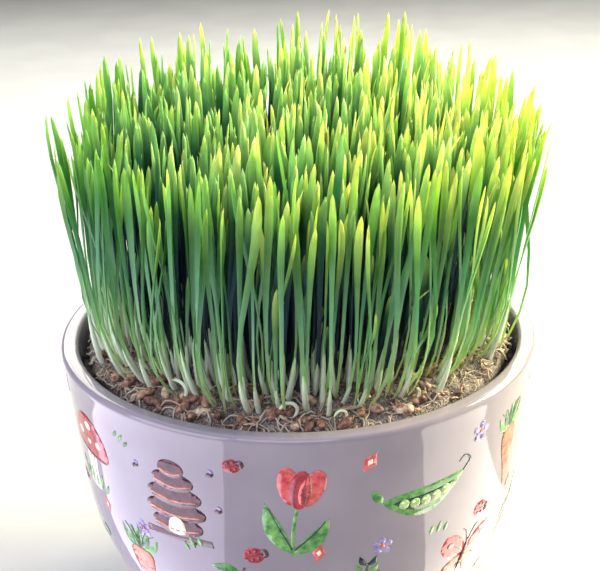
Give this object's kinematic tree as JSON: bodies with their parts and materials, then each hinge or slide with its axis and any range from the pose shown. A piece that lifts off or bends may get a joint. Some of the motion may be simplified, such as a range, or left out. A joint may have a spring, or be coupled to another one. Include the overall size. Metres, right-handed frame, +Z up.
{
  "type": "wheatgrass pot",
  "caption": "Round glazed ceramic planter filled with soil, with a dense sod of young wheatgrass growing from a mat of sprouted grains and roots.",
  "frame": {"origin": "on the surface that the pot stands on, under the middle of the pot's foot", "axes": "+Z up along the pot's axis, +X to the right in the front view, +Y away from the viewer"},
  "size_m": [0.172, 0.17, 0.2192],
  "materials": {
    "glaze": "glossy pale lilac-white glaze with small printed garden motifs",
    "soil": "matt, dark, crumbly potting soil",
    "grass": "living leaf, satin, yellow-green at the tips and whitish at the base"
  },
  "bodies": {
    "root": {"pot": "glaze", "soil": "soil", "wheatgrass_sod": "grass"}
  },
  "joints": []
}
